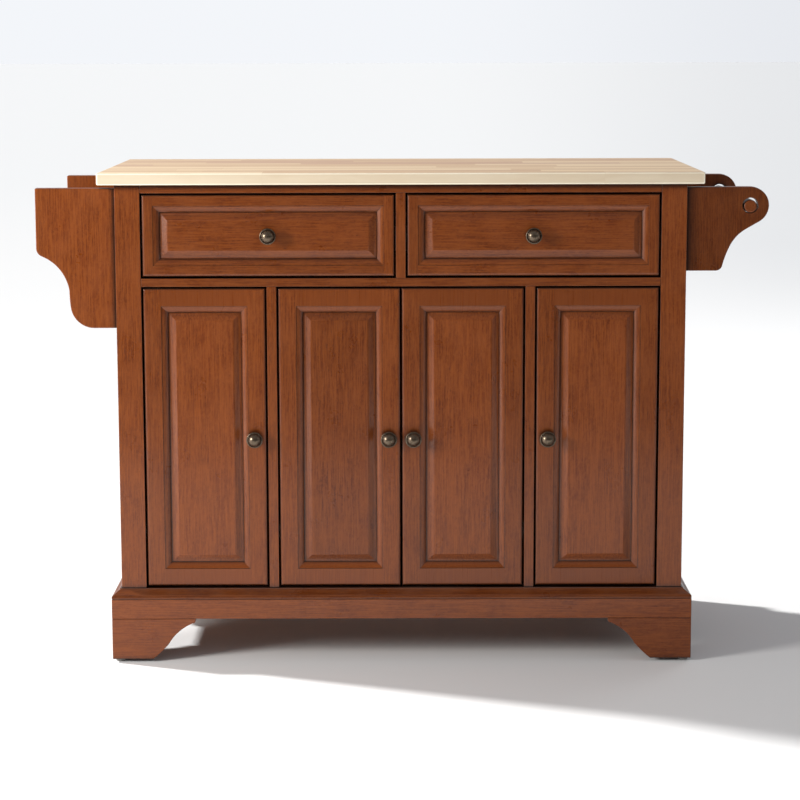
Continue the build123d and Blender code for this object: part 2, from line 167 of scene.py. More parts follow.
def makeRecess(look):
    # one in tight corners and quirks where little light reaches: painted shade; on the wood it also
    # stands for the stain's real glaze, on the bronze for patina in its hollows
    group, takes, gives = startGroup(
        "recess", [("Reach", floatKind, 0.01), ("Hold", floatKind, 1.0)], ["Depth"])
    corner = group.nodes.new("ShaderNodeAmbientOcclusion")
    corner.samples = look["samples"]
    feed(group, corner.inputs["Distance"], takes["Reach"])
    shade = doMath(group, "SUBTRACT", 1.0, corner.outputs["AO"])
    held = doMath(group, "MULTIPLY", spread(group, shade, *look["range"]), takes["Hold"], clamp=True)
    feed(group, gives["Depth"], held)
    return group


edgeWearAndHighlightLook = {"samples": 4, "bendRange": (0.02, 0.22), "patchScale": 90.0, "patchRange": (0.35, 0.65)}


def makeEdgeWearAndHighlight(look):
    # one along outer arrises, broken up by a cloud, where hands and cloths rub the finish thin; on the
    # wood it is also a painted highlight along the edges
    group, takes, gives = startGroup(
        "edgeWearAndHighlight", [("Radius", floatKind, 0.0015), ("Amount", floatKind, 0.5),
                     ("Coordinates", vectorKind, None)], ["Worn"])
    rounded = group.nodes.new("ShaderNodeBevel")
    rounded.samples = look["samples"]
    feed(group, rounded.inputs["Radius"], takes["Radius"])
    flat = group.nodes.new("ShaderNodeNewGeometry").outputs["Normal"]
    turned = doVector(group, "DOT_PRODUCT", rounded.outputs[0], flat)
    bend = spread(group, doMath(group, "SUBTRACT", 1.0, turned), *look["bendRange"])
    patch = cloud(group, takes["Coordinates"], look["patchScale"])
    rubbed = doMath(group, "MULTIPLY", bend, spread(group, patch, *look["patchRange"]))
    feed(group, gives["Worn"], doMath(group, "MULTIPLY", rubbed, takes["Amount"], clamp=True))
    return group


dustLook = {"upRange": (0.5, 1.0), "patchScale": 12.0, "patchRange": (0.35, 0.75)}


def makeDust(look):
    # a faint film on faces that look up
    group, takes, gives = startGroup("dust", [("Amount", floatKind, 0.2)], ["Film"])
    shape = group.nodes.new("ShaderNodeNewGeometry")
    up = doVector(group, "DOT_PRODUCT", shape.outputs["Normal"], (0, 0, 1))
    patch = cloud(group, shape.outputs["Position"], look["patchScale"])
    film = doMath(group, "MULTIPLY", spread(group, up, *look["upRange"]),
                  spread(group, patch, *look["patchRange"]))
    feed(group, gives["Film"], doMath(group, "MULTIPLY", film, takes["Amount"], clamp=True))
    return group


woodFigure = makeWoodFigure(figureLook)
recess = makeRecess(recessLook)
edgeWearAndHighlight = makeEdgeWearAndHighlight(edgeWearAndHighlightLook)
dust = makeDust(dustLook)


def place(tree, group, **values):
    node = tree.nodes.new("ShaderNodeGroup")
    node.node_tree = group
    for label, value in values.items():
        feed(tree, node.inputs[label.replace("_", " ")], value)
    return node.outputs


def startMaterial(name, **fixed):
    # fixed values go straight on the shader's own sockets
    material = bpy.data.materials.new(name)
    material.use_nodes = True
    tree = material.node_tree
    shader = tree.nodes["Principled BSDF"]
    for label, value in fixed.items():
        shader.inputs[label.replace("_", " ")].default_value = value
    return material, tree, shader


def addBump(tree, shader, height, strength, distance):
    bump = tree.nodes.new("ShaderNodeBump")
    bump.inputs["Strength"].default_value = strength
    bump.inputs["Distance"].default_value = distance
    feed(tree, bump.inputs["Height"], height)
    feed(tree, shader.inputs["Normal"], bump.outputs[0])


def objectSpot(tree):
    return tree.nodes.new("ShaderNodeTexCoord").outputs["Object"]


def splitSpot(tree, spot):
    node = tree.nodes.new("ShaderNodeSeparateXYZ")
    feed(tree, node.inputs[0], spot)
    return node.outputs


boardTurns = {"X": (0, 0, 0), "Y": (0, 0, -math.pi / 2), "Z": (0, math.pi / 2, 0)}


def boardCoordinates(tree, along):
    # pieces made here carry their own board coordinates; the frame's boards use their place
    if along is None:
        node = tree.nodes.new("ShaderNodeAttribute")
        node.attribute_name = "grain"
        return node.outputs["Vector"]
    turn = tree.nodes.new("ShaderNodeMapping")
    turn.inputs["Rotation"].default_value = boardTurns[along]
    feed(tree, turn.inputs["Vector"], objectSpot(tree))
    return turn.outputs[0]


def boardTone(tree):
    node = tree.nodes.new("ShaderNodeAttribute")
    node.attribute_name = "tone"
    return node.outputs["Fac"]


stainedCherry = {
    "dark": rgb(0.064, 0.0105, 0.0015), "middle": rgb(0.122, 0.0235, 0.0030),
    "light": rgb(0.225, 0.056, 0.0080), "glazeAndShade": rgb(0.016, 0.005, 0.0025),
    "wornAndHighlit": rgb(0.36, 0.125, 0.045), "dust": rgb(0.45, 0.40, 0.36),
    "streakScale": 55.0, "fibreScale": 520.0, "poreAmount": 0.55,
    "streaks": (0.55, 0.45), "fibreRange": (0.38, 0.64), "fibres": 0.75, "clouds": 0.36,
    "curl": 0.42, "pores": 0.4, "toneSpread": 0.22, "glazeAndShadeReach": 15 * mm, "glazeAndShadeHold": 0.95,
    "wearAndHighlightRadius": 1.4 * mm, "wearAndHighlight": 0.3, "dustAmount": 0.05,
    "roughness": 0.31, "cloudRoughness": 0.08, "poreRoughness": 0.2, "specular": 0.27,
    "coat": 0.3, "coatRoughness": 0.16, "poreDepth": -0.7, "bump": 0.22, "bumpDepth": 0.4 * mm,
}
innerCherry = dict(
    stainedCherry, dark=rgb(0.13, 0.045, 0.018), middle=rgb(0.19, 0.07, 0.028),
    light=rgb(0.25, 0.10, 0.042), roughness=0.55, glazeAndShadeHold=0.5, wearAndHighlight=0.15, coat=0.05)
paleBox = dict(
    stainedCherry, dark=rgb(0.42, 0.27, 0.14), middle=rgb(0.55, 0.37, 0.20),
    light=rgb(0.66, 0.47, 0.28), glazeAndShade=rgb(0.16, 0.09, 0.045), wornAndHighlit=rgb(0.7, 0.55, 0.36),
    roughness=0.5, glazeAndShadeHold=0.5, wearAndHighlight=0.1, coat=0.08)


def makeWood(name, look, along=None):
    material, tree, shader = startMaterial(
        name, Coat_Weight=look["coat"], Coat_Roughness=look["coatRoughness"],
        Specular_IOR_Level=look["specular"])
    spot = boardCoordinates(tree, along)
    figure = place(tree, woodFigure, Coordinates=spot, Streak_Scale=look["streakScale"],
                   Fibre_Scale=look["fibreScale"], Pore_Amount=look["poreAmount"])
    streaks = doMath(tree, "MULTIPLY_ADD", figure["Streaks"], *look["streaks"])
    colour = mixColour(tree, streaks, look["dark"], look["middle"])
    fibres = spread(tree, figure["Fibres"], *look["fibreRange"])
    for amount, share, toward in (
            (fibres, "fibres", "light"), (figure["Clouds"], "clouds", "light"),
            (figure["Curl"], "curl", "light"), (figure["Pores"], "pores", "glazeAndShade")):
        share = doMath(tree, "MULTIPLY", amount, look[share])
        colour = mixColour(tree, share, colour, look[toward])
    toneLow = 1.0 - look["toneSpread"] / 2
    tone = doMath(tree, "MULTIPLY_ADD", boardTone(tree), look["toneSpread"], toneLow)
    toned = tree.nodes.new("ShaderNodeHueSaturation")
    feed(tree, toned.inputs["Color"], colour)
    feed(tree, toned.inputs["Value"], tone)
    # darker in corners and quirks: partly the stain's real glaze, partly painted shade
    corner = place(tree, recess, Reach=look["glazeAndShadeReach"], Hold=look["glazeAndShadeHold"])["Depth"]
    colour = mixColour(tree, corner, toned.outputs[0], look["glazeAndShade"])
    # lighter along outer arrises: partly wear, partly painted highlight
    wornAndHighlit = place(tree, edgeWearAndHighlight, Radius=look["wearAndHighlightRadius"], Amount=look["wearAndHighlight"],
                 Coordinates=spot)["Worn"]
    colour = mixColour(tree, wornAndHighlit, colour, look["wornAndHighlit"])
    film = place(tree, dust, Amount=look["dustAmount"])["Film"]
    feed(tree, shader.inputs["Base Color"], mixColour(tree, film, colour, look["dust"]))
    smoothest = look["roughness"] - look["cloudRoughness"] / 2
    rough = doMath(tree, "MULTIPLY_ADD", figure["Clouds"], look["cloudRoughness"], smoothest)
    rough = doMath(tree, "MULTIPLY_ADD", figure["Pores"], look["poreRoughness"], rough)
    feed(tree, shader.inputs["Roughness"], rough)
    height = doMath(tree, "MULTIPLY_ADD", figure["Pores"], look["poreDepth"], figure["Fibres"])
    addBump(tree, shader, height, look["bump"], look["bumpDepth"])
    return material


blockTop = {
    "staveWidth": 38.1 * mm, "staveLength": 0.62, "seam": 0.35 * mm,
    "rowsBefore": 60, "rowShift": 7.0, "figureShift": (9, 9, 9),
    "cream": rgb(0.67, 0.53, 0.36), "honey": rgb(0.52, 0.365, 0.235),
    "rose": rgb(0.44, 0.28, 0.20), "edge": rgb(0.95, 0.90, 0.74), "pore": rgb(0.36, 0.22, 0.11),
    "seamColour": rgb(0.45, 0.30, 0.16), "endGrain": rgb(0.55, 0.38, 0.21),
    "honeyRange": (0.1, 0.6), "roseRange": (0.72, 0.9),
    "streakScale": 75.0, "fibreScale": 600.0, "poreAmount": 0.35,
    "streaks": 0.35, "fibres": 0.22, "pores": 0.45, "edgeStreaks": 0.25, "seams": 0.7,
    "frontRange": (0.3, 0.9), "endRange": (0.6, 0.95), "speckleScale": 900.0,
    "speckleRange": (0.4, 0.62), "speckles": (0.4, 0.35), "roughness": (0.16, 0.46),
    "bump": 0.2, "bumpDepth": 0.4 * mm,
}


def makeBlockWood(look):
    # staves run along X, each row's joints at their own places, each stave its own tone and grain
    material, tree, shader = startMaterial(
        "blockWood", Coat_Weight=0.04, Coat_Roughness=0.35, Specular_IOR_Level=0.35)
    spot = boardCoordinates(tree, None)
    run, across, _ = splitSpot(tree, spot)
    before = look["rowsBefore"] * look["staveWidth"]      # keeps the row numbers above nought
    rowPlace = doMath(tree, "DIVIDE", doMath(tree, "ADD", across, before), look["staveWidth"])
    row = doMath(tree, "FLOOR", rowPlace)
    rowDice = tree.nodes.new("ShaderNodeTexWhiteNoise")
    rowDice.noise_dimensions = "1D"
    feed(tree, rowDice.inputs["W"], row)
    shift = doMath(tree, "MULTIPLY", rowDice.outputs["Value"], look["rowShift"])
    columnPlace = doMath(tree, "DIVIDE", doMath(tree, "ADD", run, shift), look["staveLength"])
    address = tree.nodes.new("ShaderNodeCombineXYZ")
    feed(tree, address.inputs[0], row)
    feed(tree, address.inputs[1], doMath(tree, "FLOOR", columnPlace))
    staveDice = tree.nodes.new("ShaderNodeTexWhiteNoise")
    feed(tree, staveDice.inputs["Vector"], address.outputs[0])
    offset = doVector(tree, "MULTIPLY", staveDice.outputs["Color"], look["figureShift"])
    figure = place(tree, woodFigure, Coordinates=doVector(tree, "ADD", spot, offset),
                   Streak_Scale=look["streakScale"], Fibre_Scale=look["fibreScale"],
                   Pore_Amount=look["poreAmount"])
    pick = staveDice.outputs["Value"]
    honey = spread(tree, pick, *look["honeyRange"])
    colour = mixColour(tree, honey, look["cream"], look["honey"])
    colour = mixColour(tree, spread(tree, pick, *look["roseRange"]), colour, look["rose"])
    for output, share, toward in (("Streaks", "streaks", "cream"), ("Fibres", "fibres", "rose"),
                                  ("Pores", "pores", "pore")):
        share = doMath(tree, "MULTIPLY", figure[output], look[share])
        colour = mixColour(tree, share, colour, look[toward])
    face = tree.nodes.new("ShaderNodeNewGeometry").outputs["Normal"]

    def facing(axis, low, high):
        toward = doMath(tree, "ABSOLUTE", doVector(tree, "DOT_PRODUCT", face, axis))
        return spread(tree, toward, low, high)

    # the front and back faces take a far paler cream than the top: painted light, for the brightly lit
    # front edge
    edgeStreaks = doMath(tree, "MULTIPLY", figure["Streaks"], look["edgeStreaks"])
    litEdgeFigure = mixColour(tree, edgeStreaks, look["edge"], look["cream"])
    colour = mixColour(tree, facing((0, 1, 0), *look["frontRange"]), colour, litEdgeFigure)
    speckle = cloud(tree, spot, look["speckleScale"], 2.0)
    speckle = spread(tree, speckle, *look["speckleRange"])
    speckle = doMath(tree, "MULTIPLY_ADD", speckle, *look["speckles"])
    ending = doMath(tree, "MULTIPLY", facing((1, 0, 0), *look["endRange"]), speckle)
    colour = mixColour(tree, ending, colour, look["endGrain"])

    def seamAt(spotInRow, size):
        middle = doMath(tree, "SUBTRACT", doMath(tree, "FRACT", spotInRow), 0.5)
        return spread(tree, doMath(tree, "ABSOLUTE", middle), 0.5 - look["seam"] / size, 0.5)

    seam = doMath(tree, "MAXIMUM", seamAt(rowPlace, look["staveWidth"]),
                  seamAt(columnPlace, look["staveLength"]))
    colour = mixColour(tree, doMath(tree, "MULTIPLY", seam, look["seams"]), colour, look["seamColour"])
    feed(tree, shader.inputs["Base Color"], colour)
    rough = doMath(tree, "MULTIPLY_ADD", figure["Fibres"], *look["roughness"])
    feed(tree, shader.inputs["Roughness"], rough)
    height = doMath(tree, "SUBTRACT", doMath(tree, "MULTIPLY", figure["Fibres"], 0.5), seam)
    addBump(tree, shader, height, look["bump"], look["bumpDepth"])
    return material


knobBronze = {
    "dark": rgb(0.040, 0.028, 0.019), "body": rgb(0.17, 0.128, 0.090),
    "rubbed": rgb(0.42, 0.335, 0.25), "patinaScale": 260.0, "patinaRange": (0.35, 0.7),
    "cornerReach": 3.5 * mm, "wearAndHighlightRadius": 1.2 * mm, "wearAndHighlight": 0.9, "roughness": (0.12, 0.27),
    "bumpScale": 700.0, "bump": 0.08, "bumpDepth": 0.3 * mm,
}


def makeBronze(look):
    material, tree, shader = startMaterial("knobBronze", Metallic=0.9)
    spot = objectSpot(tree)
    patina = spread(tree, cloud(tree, spot, look["patinaScale"], 4.0), *look["patinaRange"])
    dull = mixColour(tree, 0.5, look["body"], look["dark"])
    colour = mixColour(tree, patina, look["body"], dull)
    corner = place(tree, recess, Reach=look["cornerReach"], Hold=1.0)["Depth"]
    colour = mixColour(tree, corner, colour, look["dark"])
    wornAndHighlit = place(tree, edgeWearAndHighlight, Radius=look["wearAndHighlightRadius"], Amount=look["wearAndHighlight"],
                 Coordinates=spot)["Worn"]
    feed(tree, shader.inputs["Base Color"], mixColour(tree, wornAndHighlit, colour, look["rubbed"]))
    rough = doMath(tree, "MULTIPLY_ADD", patina, *look["roughness"])
    feed(tree, shader.inputs["Roughness"], rough)
    bumps = cloud(tree, spot, look["bumpScale"])
    addBump(tree, shader, bumps, look["bump"], look["bumpDepth"])
    return material


platedSteel = {
    "dull": rgb(0.52, 0.52, 0.51), "bright": rgb(0.68, 0.68, 0.66), "corner": rgb(0.16, 0.15, 0.14),
    "drawnStretch": (1, 0.03, 1), "drawnScale": 1500.0, "cornerReach": 4 * mm, "cornerHold": 0.7,
    "roughness": (0.2, 0.24), "bump": 0.08, "bumpDepth": 0.2 * mm,
}


def makeSteel(look):
    material, tree, shader = startMaterial("platedSteel", Metallic=1.0)
    drawn = doVector(tree, "MULTIPLY", objectSpot(tree), look["drawnStretch"])
    drawn = cloud(tree, drawn, look["drawnScale"], 2.0)
    colour = mixColour(tree, drawn, look["dull"], look["bright"])
    # darker in its corners and recesses: painted shade
    corner = place(tree, recess, Reach=look["cornerReach"], Hold=look["cornerHold"])["Depth"]
    feed(tree, shader.inputs["Base Color"], mixColour(tree, corner, colour, look["corner"]))
    rough = doMath(tree, "MULTIPLY_ADD", drawn, *look["roughness"])
    feed(tree, shader.inputs["Roughness"], rough)
    addBump(tree, shader, drawn, look["bump"], look["bumpDepth"])
    return material


glideGrey = {
    "dark": rgb(0.20, 0.19, 0.18), "light": rgb(0.30, 0.29, 0.27),
    "scuffScale": 320.0, "scuffRange": (0.4, 0.7), "roughness": (0.2, 0.5),
    "bumpScale": 1600.0, "bump": 0.15, "bumpDepth": 0.2 * mm,
}


def makeGlidePlastic(look):
    material, tree, shader = startMaterial("glidePlastic", Specular_IOR_Level=0.4)
    spot = objectSpot(tree)
    scuff = spread(tree, cloud(tree, spot, look["scuffScale"], 4.0), *look["scuffRange"])
    feed(tree, shader.inputs["Base Color"], mixColour(tree, scuff, look["dark"], look["light"]))
    rough = doMath(tree, "MULTIPLY_ADD", scuff, *look["roughness"])
    feed(tree, shader.inputs["Roughness"], rough)
    bumps = cloud(tree, spot, look["bumpScale"])
    addBump(tree, shader, bumps, look["bump"], look["bumpDepth"])
    return material


cherryUpright = makeWood("cherryUpright", stainedCherry, "Z")
innerUpright = makeWood("innerUpright", innerCherry, "Z")
innerLevel = makeWood("innerLevel", innerCherry, "X")
steel = makeSteel(platedSteel)
glidePlastic = makeGlidePlastic(glideGrey)
slotMaterials = {
    "cherry_wood": makeWood("cherryWood", stainedCherry), "block_wood": makeBlockWood(blockTop),
    "inner_wood": makeWood("innerBoards", innerCherry), "drawer_wood": makeWood("boxWood", paleBox),
    "knob_bronze": makeBronze(knobBronze),
}
print("materials made")


# mesh helpers: a piece is a list of boards in one mesh, each with its own grain

grainOrder = {"X": (0, 1, 2), "Y": (1, 0, 2), "Z": (2, 0, 1)}
crease = math.radians(32)      # a sharper bend than this is an edge


def startMesh():
    mesh = bmesh.new()
    mesh.verts.layers.float_vector.new("grain")
    mesh.verts.layers.float.new("tone")
    return mesh


def layGrain(mesh, verts, along, shuffle=True, shade=None):
    # each board gets its own place in the grain, and a drawn tone unless a shade is given
    grain = mesh.verts.layers.float_vector["grain"]
    tone = mesh.verts.layers.float["tone"]
    shift = Vector([dice.uniform(-4, 4) for _ in range(3)]) if shuffle else Vector((0, 0, 0))
    drawn = dice.random()
    for vert in verts:
        vert[grain] = Vector([vert.co[axis] for axis in grainOrder[along]]) + shift
        vert[tone] = drawn if shade is None else shade


def addFaces(mesh, outlines, along, shade=None):
    # outlines is a solid's faces, each a list of points; shared corners become one vertex
    shared, made = {}, []
    for outline in outlines:
        ring = []
        for point in outline:
            key = tuple(round(value, 7) for value in point)
            if key not in shared:
                shared[key] = mesh.verts.new(point)
            if not ring or (shared[key] is not ring[-1] and shared[key] is not ring[0]):
                ring.append(shared[key])
        if len(ring) > 2:
            made.append(mesh.faces.new(ring))
    layGrain(mesh, shared.values(), along, shade=shade)
    bmesh.ops.recalc_face_normals(mesh, faces=made)


def addBoard(mesh, low, high, along):
    # a board between two corners, its grain along the axis told
    corner = [[(low, high)[bit >> axis & 1][axis] for axis in range(3)] for bit in range(8)]
    sides = [(0, 1, 3, 2), (4, 5, 7, 6), (0, 1, 5, 4), (2, 3, 7, 6), (0, 2, 6, 4), (1, 3, 7, 5)]
    addFaces(mesh, [[corner[index] for index in side] for side in sides], along)


def finishPiece(mesh, name, body, node, slotName, soften=0, segments=2):
    # soften is the width of the eased edges
    data = bpy.data.meshes.new(name)
    mesh.to_mesh(data)
    mesh.free()
    data.materials.append(slotMaterials[slotName])
    data.shade_smooth()
    data.set_sharp_from_angle(angle=crease)
    piece = bpy.data.objects.new(name, data)
    scene.collection.objects.link(piece)
    if soften:
        softened = piece.modifiers.new("softEdges", "BEVEL")
        softened.width = soften
        softened.segments = segments
        softened.limit_method = "ANGLE"
        softened.angle_limit = crease
        softened.harden_normals = True
    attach(piece, body)
    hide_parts(node)
    return piece


def islandBoxes(node):
    # lowest and highest corner of each separate solid of a node
    mesh = bmesh.new()
    mesh.from_mesh(nodes[node].data)
    bmesh.ops.remove_doubles(mesh, verts=mesh.verts, dist=1e-6)
    left, boxes = set(mesh.verts), []
    while left:
        reach, island = [left.pop()], []
        while reach:
            vert = reach.pop()
            island.append(vert.co.copy())
            near = [edge.other_vert(vert) for edge in vert.link_edges]
            fresh = [other for other in near if other in left]
            left.difference_update(fresh)
            reach += fresh
        boxes.append([[pick(point[axis] for point in island) for axis in range(3)]
                      for pick in (min, max)])
    mesh.free()
    return sorted(boxes)


def middleOf(low, high):
    return [(low[axis] + high[axis]) / 2 for axis in range(3)]


def arc(start, middle, end, steps):
    # points of the arc through three points, without the first
    (ax, ay), (bx, by), (cx, cy) = start, middle, end
    scale = 2 * (ax * (by - cy) + bx * (cy - ay) + cx * (ay - by))
    aa, bb, cc = ax * ax + ay * ay, bx * bx + by * by, cx * cx + cy * cy
    ux = (aa * (by - cy) + bb * (cy - ay) + cc * (ay - by)) / scale
    uy = (aa * (cx - bx) + bb * (ax - cx) + cc * (bx - ax)) / scale
    angles = [math.atan2(y - uy, x - ux) for x, y in (start, middle, end)]
    turn = (angles[2] - angles[0]) % math.tau
    if (angles[1] - angles[0]) % math.tau > turn:
        turn -= math.tau
    radius = math.hypot(ax - ux, ay - uy)
    stops = [angles[0] + turn * step / steps for step in range(1, steps + 1)]
    return [(ux + radius * math.cos(stop), uy + radius * math.sin(stop)) for stop in stops]


def followArcs(points, arcs):
    # carries an outline on along arcs, each a point it passes, its end and its steps
    start = points[-1]
    for through, end, steps in arcs:
        points = points + arc(start, through, end, steps)
        start = end
    return points


def circle(radius, steps):
    # points of a circle, from its right and anticlockwise
    turns = [math.tau * step / steps for step in range(steps)]
    return [(radius * math.cos(turn), radius * math.sin(turn)) for turn in turns]


def lathe(mesh, profile, centre, steps=56):
    # turns (radius, distance along Y) points round an axis along Y
    rings = [[(centre[0] + x, centre[1] + reach, centre[2] + z)
              for x, z in circle(radius, steps if radius > 1e-7 else 1)] for radius, reach in profile]
    faces = []
    for first, second in zip(rings, rings[1:]):
        for step in range(steps):
            after = (step + 1) % steps
            faces.append([first[step % len(first)], first[after % len(first)],
                          second[after % len(second)], second[step % len(second)]])
    faces += [end for end in (rings[0], rings[-1]) if len(end) > 1]
    addFaces(mesh, faces, "Y")


# the block top

top = {"ease": 3.2 * mm, "steps": 4}
mesh = startMesh()
addBoard(mesh, *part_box("butcher_block_top"), "X")
bmesh.ops.bevel(mesh, geom=mesh.edges[:], offset=top["ease"], segments=top["steps"],
                affect="EDGES", profile=0.5)
layGrain(mesh, mesh.verts, "X", shuffle=False)
finishPiece(mesh, "blockTop", "cabinet", "butcher_block_top", "block_wood")

# plain boards of the face frame, the rack and the shelves: grain, eased edge and slot

plainBoards = {
    "face_posts": ("Z", 1.2 * mm, "cherry_wood"), "face_rails": ("X", 0.9 * mm, "cherry_wood"),
    "face_dividers": ("Z", 1.0 * mm, "cherry_wood"), "rack_shelves": ("Y", 1.0 * mm, "cherry_wood"),
    "rack_guards": ("Y", 2.0 * mm, "cherry_wood"), "adjustable_shelves": ("X", 0.8 * mm, "inner_wood"),
}
for node, (along, ease, slotName) in plainBoards.items():
    mesh = startMesh()
    for low, high in islandBoxes(node):
        addBoard(mesh, low, high, along)
    finishPiece(mesh, node + "_boards", "cabinet", node, slotName, ease)
print("top and plain boards made")


# raised-panel doors and drawer fronts

front = {
    "doorFlat": 33 * mm, "drawerFlat": 20 * mm, "thickness": 19 * mm, "ease": 0.5 * mm,
    "roundWidth": 6.0 * mm, "roundDepth": 4.6 * mm, "roundSteps": 6,
    "sticking": 12 * mm, "quirk": 0.9 * mm, "stickingDepth": 7 * mm,
    "stickingPasses": (7.2 * mm, 3.1 * mm), "stickingSteps": 6,
    "panelInset": 6.3 * mm, "panelBack": 13.9 * mm, "panelTongue": 8.1 * mm, "reveal": 1.5 * mm,
    "bevelWidth": 14 * mm, "bevelTop": 1.5 * mm, "bevelSteps": 6, "hollow": 0.18, "lip": 1.2 * mm,
}


def roundOver():
    # (inwards, down) points of the outer edge's quarter ellipse, from the outer face to the front
    turns = [math.pi / 2 * step / front["roundSteps"] for step in range(front["roundSteps"] + 1)]
    return [(front["roundWidth"] * (1 - math.cos(turn)), front["roundDepth"] * (1 - math.sin(turn)))
            for turn in turns]


def frameMember(mesh, put, length, flat, stile, along):
    # put turns (inwards from the outer edge, down from the front, along) into a point
    thick, edge = front["thickness"], flat + front["sticking"]
    rounds = roundOver()
    face = [(0, thick)] + rounds + [(flat, 0)]
    passes = (flat + front["stickingPasses"][0], front["stickingPasses"][1])
    slope = followArcs([(flat, front["quirk"])],
                       [(passes, (edge, front["stickingDepth"]), front["stickingSteps"])])
    sections = [(flat, 0), (length - flat, 0)]
    if stile:
        sections = rounds + sections + [(length - run, down) for run, down in reversed(rounds)]

    def at(inwards, down, station):
        return put(inwards, max(down, station[1]), station[0])

    faces = []
    for one, two in zip(sections, sections[1:]):
        for start, end in zip(face, face[1:]):
            faces.append([at(*start, one), at(*end, one), at(*end, two), at(*start, two)])
        faces.append([at(flat, thick, one), at(0, thick, one), at(0, thick, two), at(flat, thick, two)])
        if stile and (two[0] <= flat or one[0] >= length - flat):
            # the stile's inner side where the rail butts against it
            joint = [at(flat, 0, one), at(flat, thick, one), at(flat, thick, two), at(flat, 0, two)]
            quirk = put(flat, front["quirk"], flat if two[0] <= flat else length - flat)
            if abs(two[0] - flat) < 1e-9:
                joint.insert(3, quirk)
            if abs(one[0] - length + flat) < 1e-9:
                joint.insert(1, quirk)
            faces.append(joint)
    # the strip along the moulding's back, from the edge to the flat, isn't faced
    inner = slope + [(edge, thick), (flat, thick)]
    for one, two in zip([(flat, 0)] + slope, inner):
        faces.append([put(*one, one[0]), put(*two, two[0]),
                      put(*two, length - two[0]), put(*one, length - one[0])])
    for station, mitre in ((sections[0], lambda run: run), (sections[-1], lambda run: length - run)):
        faces.append([at(*point, station) for point in face + [(flat, thick)]])
        faces.append([put(*point, mitre(point[0])) for point in inner])
    addFaces(mesh, faces, along)


cupBore = {"lip": 0.9 * mm, "past": 1 * mm, "steps": 48}


def boreForCups(piece, cups, back):
    # sinks a round seat in the back of the stile for each hinge cup
    mesh = bmesh.new()
    for low, high in cups:
        middle = middleOf(low, high)
        ring = circle((high[0] - low[0]) / 2 - cupBore["lip"], cupBore["steps"])
        ends = [[mesh.verts.new((middle[0] + x, y, middle[2] + z)) for x, z in ring]
                for y in (low[1], back + cupBore["past"])]
        for end in ends:
            mesh.faces.new(end)
        for step in range(cupBore["steps"]):
            after = (step + 1) % cupBore["steps"]
            mesh.faces.new([ends[0][step], ends[0][after], ends[1][after], ends[1][step]])
    bmesh.ops.recalc_face_normals(mesh, faces=mesh.faces)
    data = bpy.data.meshes.new("cupCutter")
    mesh.to_mesh(data)
    mesh.free()
    cutter = bpy.data.objects.new("cupCutter", data)
    scene.collection.objects.link(cutter)
    bore = piece.modifiers.new("cupSeats", "BOOLEAN")
    bore.operation = "DIFFERENCE"
    bore.solver = "EXACT"
    bore.object = cutter
    held = [modifier for modifier in piece.modifiers if modifier != bore]
    for modifier in held:
        modifier.show_viewport = False
    bpy.context.view_layer.update()
    graph = bpy.context.evaluated_depsgraph_get()
    bored = bpy.data.meshes.new_from_object(
        piece.evaluated_get(graph), preserve_all_data_layers=True, depsgraph=graph)
    piece.modifiers.remove(bore)
    for modifier in held:
        modifier.show_viewport = True
    bored.set_sharp_from_angle(angle=crease)
    piece.data = bored
    bpy.data.objects.remove(cutter)


def panelRings(flat):
    # (inset, depth) of the rings from the panel's back round its tongue and up to its field
    tongue = flat + front["panelInset"]
    rim = flat + front["sticking"] + front["reveal"]
    field = rim + front["bevelWidth"]
    drop = front["panelTongue"] - front["bevelTop"]
    rings = [(tongue, front["panelBack"]), (tongue, front["panelTongue"]), (rim, front["panelTongue"])]
    for step in range(1, front["bevelSteps"] + 1):
        share = step / front["bevelSteps"]      # a slightly hollow bevel, as a shaper cuts it
        sunk = (1 - front["hollow"]) * share + front["hollow"] * share ** 2
        rings.append((rim + share * (field - rim), front["panelTongue"] - drop * sunk))
    return rings + [(field + front["lip"], front["bevelTop"])]


def makeFront(name, part, flat, cups=None):
    # part is what the frame's node names start with; cups is the node of a door's hinge cups
    low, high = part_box(part + "_frame")
    wide, tall, y = high[0] - low[0], high[2] - low[2], low[1]
    mesh = startMesh()
    for edge, sign in ((low[0], 1), (high[0], -1)):
        frameMember(mesh, lambda inwards, down, run: (edge + sign * inwards, y + down, low[2] + run),
                    tall, flat, True, "Z")
    for edge, sign in ((low[2], 1), (high[2], -1)):
        frameMember(mesh, lambda inwards, down, run: (low[0] + run, y + down, edge + sign * inwards),
                    wide, flat, False, "X")
    boards = finishPiece(mesh, name + "_frameBoards", name, part + "_frame", "cherry_wood",
                         front["ease"])
    if cups:
        boreForCups(boards, islandBoxes(cups), y + front["thickness"])

    def corners(inset, depth):
        x0, x1, z0, z1 = low[0] + inset, high[0] - inset, low[2] + inset, high[2] - inset
        return [(x0, y + depth, z0), (x1, y + depth, z0), (x1, y + depth, z1), (x0, y + depth, z1)]

    rings = [corners(*ring) for ring in panelRings(flat)]
    faces = [rings[0], rings[-1]]
    for one, two in zip(rings, rings[1:]):
        faces += [[one[i], one[(i + 1) % 4], two[(i + 1) % 4], two[i]] for i in range(4)]
    mesh = startMesh()
    addFaces(mesh, faces, "Z" if tall > wide else "X")
    finishPiece(mesh, name + "_raisedPanel", name, part + "_panel", "cherry_wood")


doors = ["door_left", "door_centre_left", "door_centre_right", "door_right"]
drawers = ["drawer_left", "drawer_right"]
for name in doors:
    makeFront(name, name, front["doorFlat"], name + "_hinge_cups")
for name in drawers:
    makeFront(name, name + "_front", front["drawerFlat"])
print("doors and drawer fronts made")


# drawer boxes

